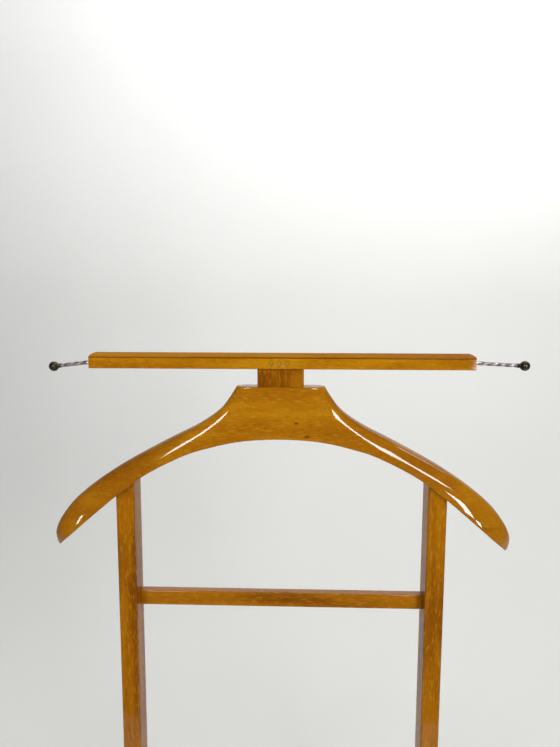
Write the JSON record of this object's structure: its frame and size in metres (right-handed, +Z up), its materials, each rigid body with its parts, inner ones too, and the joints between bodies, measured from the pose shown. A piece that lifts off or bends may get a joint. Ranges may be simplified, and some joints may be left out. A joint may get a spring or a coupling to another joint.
{
  "type": "valet stand",
  "caption": "Folding wooden valet stand with a suit hanger, trouser bar, top rail with pull-out tie rods, hinged rear legs and a slatted shoe rack.",
  "frame": {"origin": "on the floor, at the centre of the footprint of the four feet, with the stand open", "axes": "+X to the viewer's right facing the stand, -Y the front, +Z up"},
  "size_m": [0.4679, 0.3593, 1.08],
  "materials": {
    "honey_beech": "glossy amber lacquer over beech",
    "raw_beech": "unfinished dowel stock",
    "dark_rod": "darkened nickel on twisted square bar",
    "aged_brass": "dark patinated brass",
    "brass": "plain brass",
    "nickel_steel": "nickel plate",
    "white_nylon": "plain nylon",
    "black_plastic": "moulded plastic"
  },
  "bodies": {
    "front_frame": {"front_stretcher": "honey_beech", "front_stretcher_dowels": "raw_beech", "hanger": "honey_beech", "left_front_glide": "black_plastic", "left_post": "honey_beech", "left_rod_bush": "brass", "neck_block": "honey_beech", "neck_dowels": "raw_beech", "pivot_bolts": "nickel_steel", "pivot_inner_washers": "white_nylon", "pivot_nuts": "nickel_steel", "pivot_outer_washers": "nickel_steel", "post_dowels": "raw_beech", "rack_pins": "nickel_steel", "rack_washers": "white_nylon", "right_front_glide": "black_plastic", "right_post": "honey_beech", "right_rod_bush": "brass", "top_rail": "honey_beech", "trouser_bar": "honey_beech", "trouser_bar_dowels": "raw_beech"},
    "rear_frame": {"left_rear_leg": "honey_beech", "right_rear_leg": "honey_beech", "rear_dowel": "honey_beech", "rear_board": "honey_beech", "rear_board_screws": "brass", "left_rear_glide": "black_plastic", "right_rear_glide": "black_plastic"},
    "shoe_rack": {"left_rack_arm": "honey_beech", "right_rack_arm": "honey_beech", "front_rack_slat": "honey_beech", "second_rack_slat": "honey_beech", "third_rack_slat": "honey_beech", "rear_rack_slat": "honey_beech", "rack_slat_screws": "brass"},
    "left_rod": {"left_tie_rod": "dark_rod", "left_rod_ball": "aged_brass", "left_rod_collar": "dark_rod"},
    "right_rod": {"right_tie_rod": "dark_rod", "right_rod_ball": "aged_brass", "right_rod_collar": "dark_rod"}
  },
  "joints": [
    {"name": "leg_fold", "type": "hinge", "parent": "front_frame", "child": "rear_frame", "pos_m": [0, -0.08097, 0.61496], "axis": [-1, 0, 0], "range_deg": [0, 27.5]},
    {"name": "rack_lift", "type": "hinge", "parent": "front_frame", "child": "shoe_rack", "pos_m": [0, -0.14632, 0.15003], "axis": [1, 0, 0], "range_deg": [0, 82]},
    {"name": "left_rod_slide", "type": "slide", "parent": "front_frame", "child": "left_rod", "axis": [-0.993, -0.0165, -0.1173], "range_m": [-0.0231, 0.0069]},
    {"name": "right_rod_slide", "type": "slide", "parent": "front_frame", "child": "right_rod", "axis": [0.9986, -0.0073, -0.0518], "range_m": [-0.0409, 0.0054]}
  ],
  "couplings": [
    {"joint": "rack_lift", "follows": "leg_fold", "ratio": 2.98}
  ]
}
